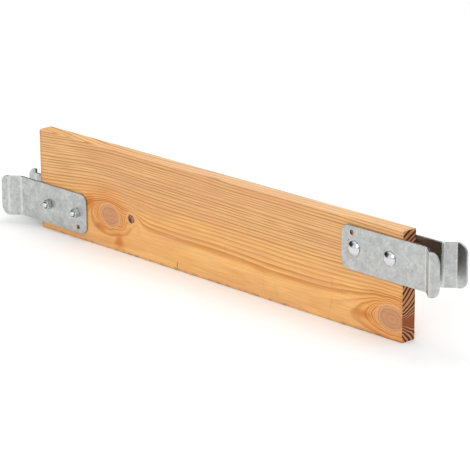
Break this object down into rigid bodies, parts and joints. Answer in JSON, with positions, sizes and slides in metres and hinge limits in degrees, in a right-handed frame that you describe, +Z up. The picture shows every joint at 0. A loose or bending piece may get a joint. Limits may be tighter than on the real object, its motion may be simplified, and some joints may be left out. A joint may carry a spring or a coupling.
{
  "type": "scaffold toe board",
  "caption": "Softwood scaffold toe board on edge, with a bolted, joggled steel fork at each end that closes on an upright tube.",
  "frame": {"origin": "middle of the board's bottom edge", "axes": "+X along the board to its right end, +Y from the front face to the back face, +Z up"},
  "size_m": [0.867, 0.0566, 0.15],
  "materials": {
    "softwood": "planed, bare",
    "galvanised_steel": "hot-dip galvanised, satin",
    "zinc_plated_fasteners": "bright zinc plated"
  },
  "bodies": {
    "root": {"board": "softwood", "clip_right_front": "galvanised_steel", "clip_right_back": "galvanised_steel", "clip_left_front": "galvanised_steel", "clip_left_back": "galvanised_steel", "bolt_right_inner": "zinc_plated_fasteners", "bolt_right_outer": "zinc_plated_fasteners", "bolt_left_inner": "zinc_plated_fasteners", "bolt_left_outer": "zinc_plated_fasteners", "nut_right_inner": "zinc_plated_fasteners", "nut_right_outer": "zinc_plated_fasteners", "nut_left_inner": "zinc_plated_fasteners", "nut_left_outer": "zinc_plated_fasteners"}
  },
  "joints": []
}
